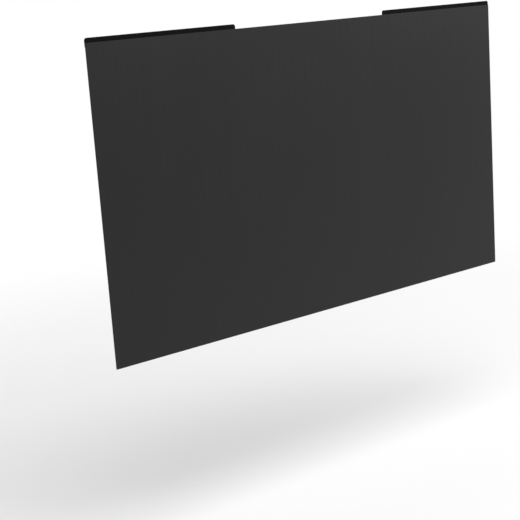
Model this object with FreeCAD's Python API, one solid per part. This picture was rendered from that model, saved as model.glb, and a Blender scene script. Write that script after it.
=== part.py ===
import FreeCAD, Part
import os

# Monitor privacy filter: a dark louvred sheet with a magnetic strip lapped behind each top corner.
# Millimetres. X runs along the width, +Y points back to the display and +Z is up.
# The origin is at the middle of the sheet's bottom edge, on the plane of the strips' rear faces.

# Driving dimensions of the sheet, cut to a 24-inch 16:9 display
sheet_width = 531.0
sheet_height = 299.0
sheet_thickness = 0.45
sheet_corner_radius = 0.8

# Driving dimensions of a magnetic strip
strip_length = 167.5
strip_lap = 5.5               # height of the strip that lies behind the sheet
strip_projection = 4.5        # height of the strip that stands above the sheet's top edge
strip_thickness = 0.5
strip_corner_radius = 2.5
strip_edge_round = 0.15       # rounding along the rims of the strip's front and rear faces

# Driving dimensions of the double-sided tape that bonds a strip to the sheet
tape_thickness = 0.1
tape_margin = 0.75            # the tape stops this far inside the borders of the lap
tape_corner_radius = 0.5

# Largest radius of a rounding, as a share of the width or thickness that it rounds
largest_round_share = 0.49

# Levels worked out from the driving dimensions, from the display forwards
display_plane_y = 0.0
strip_front_y = display_plane_y - strip_thickness
sheet_rear_y = strip_front_y - tape_thickness
sheet_front_y = sheet_rear_y - sheet_thickness

# Heights worked out from the driving dimensions
strip_bottom_z = sheet_height - strip_lap
strip_height = strip_lap + strip_projection

# Left end of each strip: the outer ends are flush with the sheet's sides
strip_left_ends = {
    "left": -sheet_width / 2,
    "right": sheet_width / 2 - strip_length,
}


def rounded_panel(left, bottom, width, height, front_y, thickness, corner_radius):
    """Upright panel between front_y and front_y + thickness, with its four corners rounded."""
    panel = Part.makeBox(width, thickness, height, FreeCAD.Vector(left, front_y, bottom))
    corner_edges = [edge for edge in panel.Edges if runs_front_to_back(edge)]
    radius = min(corner_radius, largest_round_share * min(width, height))
    return panel.makeFillet(radius, corner_edges)


def runs_front_to_back(edge):
    """True for a straight edge along Y."""
    start, end = (vertex.Point for vertex in edge.Vertexes)
    return abs(end.y - start.y) > abs(end.x - start.x) + abs(end.z - start.z)


def lies_in_plane(edge, level_y):
    """True for an edge whose whole length is at one level of Y."""
    box = edge.BoundBox
    tolerance = 1e-4
    return abs(box.YMin - level_y) < tolerance and abs(box.YMax - level_y) < tolerance


def filter_sheet():
    """Die-cut louvred sheet, as large as the display's picture."""
    return rounded_panel(
        -sheet_width / 2, 0.0, sheet_width, sheet_height,
        sheet_front_y, sheet_thickness, sheet_corner_radius,
    )


def magnetic_strip(left_end):
    """Flat magnetic bar with rounded corners and softened rims, standing above the sheet's top edge."""
    bar = rounded_panel(
        left_end, strip_bottom_z, strip_length, strip_height,
        strip_front_y, strip_thickness, strip_corner_radius,
    )
    rims = [
        edge for edge in bar.Edges
        if lies_in_plane(edge, strip_front_y) or lies_in_plane(edge, display_plane_y)
    ]
    radius = min(strip_edge_round, largest_round_share * strip_thickness)
    return bar.makeFillet(radius, rims)


def bonding_tape(left_end):
    """Tape between the sheet's rear face and the strip's front face, inside the borders of the lap."""
    return rounded_panel(
        left_end + tape_margin, strip_bottom_z + tape_margin,
        strip_length - 2 * tape_margin, strip_lap - 2 * tape_margin,
        sheet_rear_y, tape_thickness, tape_corner_radius,
    )


def build_pieces():
    """All pieces of the filter by name."""
    pieces = {"filter_sheet": filter_sheet()}
    for side, left_end in strip_left_ends.items():
        pieces[f"{side}_magnetic_strip"] = magnetic_strip(left_end)
        pieces[f"{side}_bonding_tape"] = bonding_tape(left_end)
    return pieces


os.makedirs("parts", exist_ok=True)
for name, solid in build_pieces().items():
    solid.exportStep(f"parts/{name}.step")
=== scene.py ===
import math

import bpy
import numpy as np
from mathutils import Matrix, Vector


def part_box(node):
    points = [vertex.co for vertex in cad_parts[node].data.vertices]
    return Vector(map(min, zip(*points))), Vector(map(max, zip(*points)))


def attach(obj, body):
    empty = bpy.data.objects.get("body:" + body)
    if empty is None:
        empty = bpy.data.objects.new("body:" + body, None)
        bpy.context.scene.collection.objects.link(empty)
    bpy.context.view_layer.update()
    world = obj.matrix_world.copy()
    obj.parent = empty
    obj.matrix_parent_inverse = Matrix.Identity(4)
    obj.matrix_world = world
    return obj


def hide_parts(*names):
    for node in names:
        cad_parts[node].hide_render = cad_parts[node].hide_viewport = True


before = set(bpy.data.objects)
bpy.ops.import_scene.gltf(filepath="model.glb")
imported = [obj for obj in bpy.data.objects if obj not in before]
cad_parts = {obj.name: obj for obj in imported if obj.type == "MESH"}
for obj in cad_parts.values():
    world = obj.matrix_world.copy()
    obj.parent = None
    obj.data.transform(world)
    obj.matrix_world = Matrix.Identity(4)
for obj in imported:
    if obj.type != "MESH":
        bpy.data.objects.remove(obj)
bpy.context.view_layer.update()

SIDES = ("left", "right")

# Form of the sheet and the strips that the boxes of the parts in model.glb don't give
SHEET_CORNER_RADIUS = 0.8e-3
SHEET_RIM_RADIUS = 0.08e-3
STRIP_CORNER_RADIUS = 2.5e-3
STRIP_RIM_RADIUS = 0.15e-3

# Grid steps of a slab: over its rounded rim, over its corner, and along its flat in X and in Z
RIM_STEPS = 6
CORNER_STEPS = 6
FLAT_STEPS_X = 96
FLAT_STEPS_Z = 24

# Colours of the finishes
FILM_DARK = (0.0108, 0.0108, 0.0110)
FILM_PALE = (0.0122, 0.0122, 0.0124)
FILM_CUT_EDGE = (0.0240, 0.0240, 0.0245)
# Darkest skin colour, in the pits of the grain relief: painted shade
SKIN_PIT_PAINTED_SHADE = (0.0026, 0.0026, 0.0027)
SKIN_DARK = (0.0062, 0.0062, 0.0064)
SKIN_PALE = (0.0090, 0.0090, 0.0093)
# Paler colour on the strips' rounded rim: a painted highlight
SKIN_RIM_PAINTED_HIGHLIGHT = (0.0100, 0.0100, 0.0104)
MAGNET_FACE_DARK = (0.0100, 0.0092, 0.0086)
MAGNET_FACE_PALE = (0.0160, 0.0148, 0.0138)
ADHESIVE_DARK = (0.0180, 0.0180, 0.0190)
ADHESIVE_PALE = (0.0340, 0.0340, 0.0350)

# Noises of the finishes: cells a metre along X, Y and Z, and the octaves of finer detail
FILM_LOUVRES = ((2600.0, 1.0, 1.0), 0.0)
FILM_STREAKS = ((1100.0, 1.0, 2.0), 2.0)
FILM_GRAIN = ((1800.0, 1800.0, 1800.0), 2.0)
FILM_HAZE = ((9.0, 9.0, 9.0), 2.0)
SKIN_PATCHES = ((260.0, 260.0, 260.0), 4.0)
SKIN_GRAIN = ((2200.0, 2200.0, 2200.0), 3.0)
ADHESIVE_FIBRES = ((500.0, 500.0, 1800.0), 3.0)

# Range that most of a noise's values lie in
NOISE_LOW = 0.3
NOISE_HIGH = 0.7

# Reliefs of the finishes: depth in metres
FILM_LOUVRE_DEPTH = 3e-6
FILM_GRAIN_DEPTH = 4e-6
SKIN_GRAIN_DEPTH = 2.5e-5
ADHESIVE_FIBRE_DEPTH = 1.5e-5

# Roughness of the finishes: the lowest and the highest, or what a finer pattern adds
FILM_ROUGHNESS = (0.22, 0.27)
FILM_STREAK_ROUGHNESS = (0.0, 0.03)
SKIN_ROUGHNESS = (0.46, 0.56)
SKIN_GRAIN_ROUGHNESS = (0.0, 0.06)
ADHESIVE_ROUGHNESS = (0.55, 0.70)

# Gloss of the finishes: the index of refraction, and a level that is 0.5 on a bare surface
FILM_IOR = 1.50
FILM_GLOSS = 0.22             # the anti-glare coat more than halves the reflection
SKIN_IOR = 1.50
SKIN_GLOSS = 0.03             # the pebbled skin swallows nearly all of it
ADHESIVE_IOR = 1.47
ADHESIVE_GLOSS = 0.5

# View of the photograph: the aim point is given from the middle of the sheet's front face
PHOTO_WIDTH_PX = 520
FOCAL_LENGTH_PX = 1232.9
SENSOR_WIDTH_MM = 36.0
CAMERA_AZIMUTH = math.radians(-38.119)
CAMERA_ELEVATION = math.radians(12.483)
CAMERA_ROLL = math.radians(-4.012)
CAMERA_DISTANCE = 1.2333
AIM_FROM_SHEET_MIDDLE = Vector((-0.0882, 0.0, -0.0792))

# Studio floor
FLOOR_COLOUR = (0.92, 0.92, 0.92)
FLOOR_DROP = 0.18             # the sheet's bottom edge hangs this far above the floor
FLOOR_RADIUS = 1.3
FLOOR_FADE_START = 0.25       # from here outwards the floor melts into the white surroundings
FLOOR_RINGS = 12
FLOOR_SPOKES = 64

# White surroundings, and the share of their strength that lights matt surfaces
WORLD_COLOUR = (1.0, 1.0, 1.0)
WORLD_FILL = 0.50

# Studio lamps: for each its place from the middle of the sheet, its side and its power in watts
LAMPS = {
    "key_lamp": (Vector((1.4, -1.3, 1.3)), 2.4, 34.0),
    "top_lamp": (Vector((-0.3, -0.7, 2.1)), 1.6, 24.0),
}


# Grids and meshes

def slab_lines(low, high, rim, corner, flat_steps):
    """Grid lines from low to high: as 1 - cos over the rounded rim, even over the corner and the flat."""
    turn = np.linspace(0.0, math.pi / 2, RIM_STEPS + 1)
    over_rim = rim * (1.0 - np.cos(turn))
    over_corner = np.linspace(rim, corner, CORNER_STEPS + 1)[1:]
    border = np.concatenate((over_rim, over_corner))
    flat = np.linspace(low + corner, high - corner, flat_steps + 1)[1:-1]
    return np.concatenate((low + border, flat, high - border[::-1]))


def slab_outline(x, z, corner):
    """Round the grid's corners: a square of the corner's size is drawn in to a quarter disc.

    A point at a, b from the corner's centre moves to a k, b k with k = max(a, b) / sqrt(a a + b b).
    Returns the new x and z and each point's distance from the outline.
    """
    from_side = np.minimum(x - x.min(), x.max() - x)
    from_end = np.minimum(z - z.min(), z.max() - z)
    a = np.maximum(corner - from_side, 0.0)
    b = np.maximum(corner - from_end, 0.0)
    reach = np.hypot(a, b)
    k = np.maximum(a, b) / np.where(reach > 0.0, reach, 1.0)
    outwards_x = np.sign(x - (x.min() + x.max()) / 2)
    outwards_z = np.sign(z - (z.min() + z.max()) / 2)
    inset = np.minimum(from_side, from_end)
    return x + outwards_x * a * (k - 1.0), z + outwards_z * b * (k - 1.0), inset


def grid_loop(index):
    """Points round the border of a grid of indices, anticlockwise from its lower left corner."""
    return np.concatenate((index[0, :-1], index[:-1, -1], index[-1, :0:-1], index[:0:-1, 0]))


def grid_quads(index):
    """Four points for each cell of a grid of indices, turning from +X to +Z.

    A cell starts at its lower left point in the grid's lower left and upper right quarters, and at its
    lower right point in the other two, so that the diagonal that splits it runs to the nearest corner.
    """
    cells = np.stack((index[:-1, :-1], index[:-1, 1:], index[1:, 1:], index[1:, :-1]), axis=-1)
    rows, columns = cells.shape[:2]
    on_right = np.arange(columns) >= columns // 2
    on_top = np.arange(rows) >= rows // 2
    turned = on_top[:, None] != on_right
    cells[turned] = np.roll(cells[turned], -1, axis=-1)
    return cells.reshape(-1, 4)


def slab_faces(index):
    """Faces of a closed slab: a front grid, a rear grid turned over, and a wall that joins their borders.

    The rear grid's points follow all of the front grid's, in the same order.
    """
    front = grid_quads(index)
    rear = front[:, [0, 3, 2, 1]] + index.size
    border = grid_loop(index)
    onwards = np.roll(border, -1)
    wall = np.stack((border, border + index.size, onwards + index.size, onwards), axis=-1)
    return np.concatenate((front, rear, wall))


def set_attribute(mesh, name, values):
    """Store one number per vertex under a name that materials can read."""
    attribute = mesh.attributes.new(name, "FLOAT", "POINT")
    attribute.data.foreach_set("value", np.asarray(values, dtype=np.float32))


def add_object(name, data):
    """New object in the scene, at the origin, that holds a mesh, a lamp or a camera."""
    thing = bpy.data.objects.new(name, data)
    bpy.context.scene.collection.objects.link(thing)
    return thing


def soft_slab(name, low, high, corner, rim):
    """Closed upright slab with rounded corners and rims.

    Its front and rear are one grid in X and Z each. Within the rim's radius r of the outline, a point at
    distance s sinks by r - sqrt(r r - (r - s)(r - s)), a quarter circle, and a wall joins the two borders.
    The attribute rim goes from 0 on the flat to 1 at the outline, and rear is 1 on the rear grid.
    """
    x_lines = slab_lines(low.x, high.x, rim, corner, FLAT_STEPS_X)
    z_lines = slab_lines(low.z, high.z, rim, corner, FLAT_STEPS_Z)
    x, z = np.meshgrid(x_lines, z_lines)
    x, z, inset = slab_outline(x, z, corner)
    nearness = np.clip(1.0 - inset / rim, 0.0, 1.0)
    sink = rim * (1.0 - np.sqrt(1.0 - nearness ** 2))
    front = np.stack((x, low.y + sink, z), axis=-1).reshape(-1, 3)
    rear = np.stack((x, high.y - sink, z), axis=-1).reshape(-1, 3)
    faces = slab_faces(np.arange(x.size).reshape(x.shape))

    mesh = bpy.data.meshes.new(name)
    mesh.from_pydata(np.concatenate((front, rear)).tolist(), [], faces.tolist())
    mesh.polygons.foreach_set("use_smooth", np.ones(len(faces), dtype=bool))
    set_attribute(mesh, "rim", np.tile(nearness.ravel(), 2))
    set_attribute(mesh, "rear", np.repeat((0.0, 1.0), x.size))
    mesh.update()
    return add_object(name, mesh)


# Materials

class Nodes:
    """Shorthand for the node tree of one new material."""

    def __init__(self, name):
        self.material = bpy.data.materials.new(name)
        self.material.use_nodes = True
        self.tree = self.material.node_tree
        self.shader = self.tree.nodes["Principled BSDF"]
        coordinates = self.tree.nodes.new("ShaderNodeTexCoord")
        self.place = coordinates.outputs["Object"]

    def link(self, source, target):
        """Wire one node's output to another node's input."""
        self.tree.links.new(source, target)

    def noise(self, cells, detail):
        """Noise with a number of cells a metre along X, Y and Z, and octaves of finer detail."""
        mapping = self.tree.nodes.new("ShaderNodeMapping")
        mapping.inputs["Scale"].default_value = cells
        self.link(self.place, mapping.inputs["Vector"])
        texture = self.tree.nodes.new("ShaderNodeTexNoise")
        texture.inputs["Scale"].default_value = 1.0
        texture.inputs["Detail"].default_value = detail
        self.link(mapping.outputs["Vector"], texture.inputs["Vector"])
        return texture.outputs["Fac"]

    def attribute(self, name):
        """Number that the mesh stores at each vertex under a name."""
        node = self.tree.nodes.new("ShaderNodeAttribute")
        node.attribute_name = name
        return node.outputs["Fac"]

    def ramp(self, noise, ends):
        """Number that goes from the first end to the second over the range of a noise."""
        node = self.tree.nodes.new("ShaderNodeMapRange")
        node.inputs["From Min"].default_value = NOISE_LOW
        node.inputs["From Max"].default_value = NOISE_HIGH
        node.inputs["To Min"].default_value, node.inputs["To Max"].default_value = ends
        self.link(noise, node.inputs["Value"])
        return node.outputs["Result"]

    def blend(self, factor, first, second):
        """Colour between two colours, each a constant or another node's output."""
        node = self.tree.nodes.new("ShaderNodeMix")
        node.data_type = "RGBA"
        self.link(factor, node.inputs["Factor"])
        for value, socket in ((first, node.inputs["A"]), (second, node.inputs["B"])):
            if isinstance(value, tuple):
                socket.default_value = (*value, 1.0)
            else:
                self.link(value, socket)
        return node.outputs["Result"]

    def mottle(self, noise, dark, pale):
        """Colour that goes from dark to pale over the range of a noise."""
        return self.blend(self.ramp(noise, (0.0, 1.0)), dark, pale)

    def sum(self, first, second):
        """Two numbers added."""
        node = self.tree.nodes.new("ShaderNodeMath")
        node.operation = "ADD"
        self.link(first, node.inputs[0])
        self.link(second, node.inputs[1])
        return node.outputs["Value"]

    def bump(self, height, depth, below=None):
        """Relief of a depth in metres, laid over the normal of another relief where one is given."""
        node = self.tree.nodes.new("ShaderNodeBump")
        node.inputs["Distance"].default_value = depth
        self.link(height, node.inputs["Height"])
        if below is not None:
            self.link(below, node.inputs["Normal"])
        return node.outputs["Normal"]

    def finish(self, colour, roughness, normal, ior, gloss):
        """Wire a colour, a roughness and a normal to the shader, and set its even refraction and gloss."""
        self.link(colour, self.shader.inputs["Base Color"])
        self.link(roughness, self.shader.inputs["Roughness"])
        self.link(normal, self.shader.inputs["Normal"])
        self.shader.inputs["IOR"].default_value = ior
        self.shader.inputs["Specular IOR Level"].default_value = gloss
        return self.material


def film_material():
    """Satin polymer film: almost black, with a hair-fine upright louvre grain and a paler cut edge."""
    nodes = Nodes("louvre_film")
    louvres = nodes.noise(*FILM_LOUVRES)
    streaks = nodes.noise(*FILM_STREAKS)
    grain = nodes.noise(*FILM_GRAIN)
    haze = nodes.noise(*FILM_HAZE)

    face = nodes.mottle(streaks, FILM_DARK, FILM_PALE)
    colour = nodes.blend(nodes.attribute("rim"), face, FILM_CUT_EDGE)
    roughness = nodes.sum(nodes.ramp(haze, FILM_ROUGHNESS), nodes.ramp(streaks, FILM_STREAK_ROUGHNESS))
    normal = nodes.bump(grain, FILM_GRAIN_DEPTH, below=nodes.bump(louvres, FILM_LOUVRE_DEPTH))
    return nodes.finish(colour, roughness, normal, FILM_IOR, FILM_GLOSS)


def magnet_material():
    """Flexible magnet: matt black pebbled skin in front, and a dull brown-black magnet face behind."""
    nodes = Nodes("magnet_strip_skin")
    patches = nodes.noise(*SKIN_PATCHES)
    grain = nodes.noise(*SKIN_GRAIN)

    pebbles = nodes.mottle(patches, SKIN_DARK, SKIN_PALE)
    # Where the grain relief sinks the colour goes to the darkest tone: painted shade in the pits
    skin = nodes.mottle(grain, SKIN_PIT_PAINTED_SHADE, pebbles)
    # The rounded rim takes a paler colour: a painted highlight
    skin_with_painted_rim_highlight = nodes.blend(nodes.attribute("rim"), skin, SKIN_RIM_PAINTED_HIGHLIGHT)
    magnet_face = nodes.mottle(patches, MAGNET_FACE_DARK, MAGNET_FACE_PALE)
    colour = nodes.blend(nodes.attribute("rear"), skin_with_painted_rim_highlight, magnet_face)
    roughness = nodes.sum(nodes.ramp(patches, SKIN_ROUGHNESS), nodes.ramp(grain, SKIN_GRAIN_ROUGHNESS))
    normal = nodes.bump(grain, SKIN_GRAIN_DEPTH)
    return nodes.finish(colour, roughness, normal, SKIN_IOR, SKIN_GLOSS)


def tape_material():
    """Double-sided tape: dull dark grey adhesive with a fibrous weave."""
    nodes = Nodes("bonding_tape_adhesive")
    fibres = nodes.noise(*ADHESIVE_FIBRES)

    colour = nodes.mottle(fibres, ADHESIVE_DARK, ADHESIVE_PALE)
    roughness = nodes.ramp(fibres, ADHESIVE_ROUGHNESS)
    normal = nodes.bump(fibres, ADHESIVE_FIBRE_DEPTH)
    return nodes.finish(colour, roughness, normal, ADHESIVE_IOR, ADHESIVE_GLOSS)


# Pieces

def dress_node(piece_name, node, material, corner, rim):
    """Make the finished piece that stands for a CAD node, in the node's own box."""
    low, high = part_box(node)
    piece = soft_slab(piece_name, low, high, corner, rim)
    piece.data.materials.append(material)
    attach(piece, "root")
    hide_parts(node)


def dress_filter():
    """The film sheet and both strips as finished pieces, and the tapes with their own finish."""
    film = film_material()
    magnet = magnet_material()
    tape = tape_material()
    dress_node("film_sheet", "filter_sheet", film, SHEET_CORNER_RADIUS, SHEET_RIM_RADIUS)
    for side in SIDES:
        dress_node(
            f"{side}_strip", f"{side}_magnetic_strip", magnet,
            STRIP_CORNER_RADIUS, STRIP_RIM_RADIUS,
        )
        tape_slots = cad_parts[f"{side}_bonding_tape"].data.materials
        tape_slots.clear()
        tape_slots.append(tape)


# Studio

def floor_material():
    """Pale floor that thins out with the distance from its middle, so that it melts into the white."""
    material = bpy.data.materials.new("studio_floor")
    material.use_nodes = True
    tree = material.node_tree
    tree.nodes.clear()
    coordinates = tree.nodes.new("ShaderNodeTexCoord")
    distance = tree.nodes.new("ShaderNodeVectorMath")
    distance.operation = "LENGTH"
    fade = tree.nodes.new("ShaderNodeMapRange")
    fade.interpolation_type = "SMOOTHSTEP"
    fade.inputs["From Min"].default_value = FLOOR_FADE_START
    fade.inputs["From Max"].default_value = FLOOR_RADIUS
    paint = tree.nodes.new("ShaderNodeBsdfDiffuse")
    paint.inputs["Color"].default_value = (*FLOOR_COLOUR, 1.0)
    clear = tree.nodes.new("ShaderNodeBsdfTransparent")
    mix = tree.nodes.new("ShaderNodeMixShader")
    output = tree.nodes.new("ShaderNodeOutputMaterial")
    tree.links.new(coordinates.outputs["Object"], distance.inputs[0])
    tree.links.new(distance.outputs["Value"], fade.inputs["Value"])
    tree.links.new(fade.outputs["Result"], mix.inputs["Fac"])
    tree.links.new(paint.outputs["BSDF"], mix.inputs[1])
    tree.links.new(clear.outputs["BSDF"], mix.inputs[2])
    tree.links.new(mix.outputs["Shader"], output.inputs["Surface"])
    return material


def studio_floor(level):
    """Flat disc: rings of even spacing, each point at its radius times (cos, sin) of its angle."""
    radius = np.linspace(0.0, FLOOR_RADIUS, FLOOR_RINGS + 1)[1:]
    angle = np.arange(FLOOR_SPOKES) * (2 * math.pi / FLOOR_SPOKES)
    x = np.outer(radius, np.cos(angle))
    y = np.outer(radius, np.sin(angle))
    points = np.stack((x, y, np.zeros_like(x)), axis=-1).reshape(-1, 3)
    index = np.arange(x.size).reshape(x.shape)
    onwards = np.roll(index, -1, axis=1)
    quads = np.stack((index[:-1], index[1:], onwards[1:], onwards[:-1]), axis=-1).reshape(-1, 4)
    middle = index[0].tolist()
    mesh = bpy.data.meshes.new("studio_floor")
    mesh.from_pydata(points.tolist(), [], quads.tolist() + [middle])
    mesh.materials.append(floor_material())
    floor = add_object("studio_floor", mesh)
    floor.location.z = level


def white_surroundings():
    """World of strength 1 to the camera, in reflections and through glass, and a softer fill elsewhere."""
    world = bpy.data.worlds.new("white_surroundings")
    bpy.context.scene.world = world
    world.use_nodes = True
    tree = world.node_tree
    background = tree.nodes["Background"]
    background.inputs["Color"].default_value = (*WORLD_COLOUR, 1.0)
    path = tree.nodes.new("ShaderNodeLightPath")
    seen = path.outputs["Is Camera Ray"]
    for kind in ("Is Glossy Ray", "Is Transmission Ray"):
        either = tree.nodes.new("ShaderNodeMath")
        either.operation = "MAXIMUM"
        tree.links.new(seen, either.inputs[0])
        tree.links.new(path.outputs[kind], either.inputs[1])
        seen = either.outputs["Value"]
    strength = tree.nodes.new("ShaderNodeMapRange")
    strength.inputs["To Min"].default_value = WORLD_FILL
    tree.links.new(seen, strength.inputs["Value"])
    tree.links.new(strength.outputs["Result"], background.inputs["Strength"])


def area_lamp(name, place, aim, size, power):
    """Square soft lamp that faces the aim point."""
    lamp = bpy.data.lights.new(name, "AREA")
    lamp.size = size
    lamp.energy = power
    holder = add_object(name, lamp)
    holder.location = place
    holder.rotation_euler = (aim - place).to_track_quat("-Z", "Y").to_euler()


def photo_camera(sheet_middle):
    """Camera at the photograph's view: azimuth from the front, elevation above level, then a roll."""
    back = Vector((
        math.sin(CAMERA_AZIMUTH) * math.cos(CAMERA_ELEVATION),
        -math.cos(CAMERA_AZIMUTH) * math.cos(CAMERA_ELEVATION),
        math.sin(CAMERA_ELEVATION),
    ))
    level_right = Vector((0.0, 0.0, 1.0)).cross(back).normalized()
    level_up = back.cross(level_right)
    right = math.cos(CAMERA_ROLL) * level_right + math.sin(CAMERA_ROLL) * level_up
    up = math.cos(CAMERA_ROLL) * level_up - math.sin(CAMERA_ROLL) * level_right
    lens = bpy.data.cameras.new("photo_camera")
    lens.sensor_fit = "HORIZONTAL"
    lens.sensor_width = SENSOR_WIDTH_MM
    lens.lens = FOCAL_LENGTH_PX / PHOTO_WIDTH_PX * SENSOR_WIDTH_MM
    camera = add_object("photo_camera", lens)
    place = sheet_middle + AIM_FROM_SHEET_MIDDLE + CAMERA_DISTANCE * back
    turn = Matrix((right, up, back)).transposed().to_4x4()
    camera.matrix_world = Matrix.Translation(place) @ turn
    bpy.context.scene.camera = camera


def build_scene():
    """Dress the filter and set up the floor, the light and the camera round it."""
    low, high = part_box("filter_sheet")
    sheet_middle = Vector(((low.x + high.x) / 2, low.y, (low.z + high.z) / 2))
    dress_filter()
    studio_floor(low.z - FLOOR_DROP)
    white_surroundings()
    for name, (offset, size, power) in LAMPS.items():
        area_lamp(name, sheet_middle + offset, sheet_middle, size, power)
    photo_camera(sheet_middle)
    bpy.context.scene.view_settings.view_transform = "Standard"


build_scene()
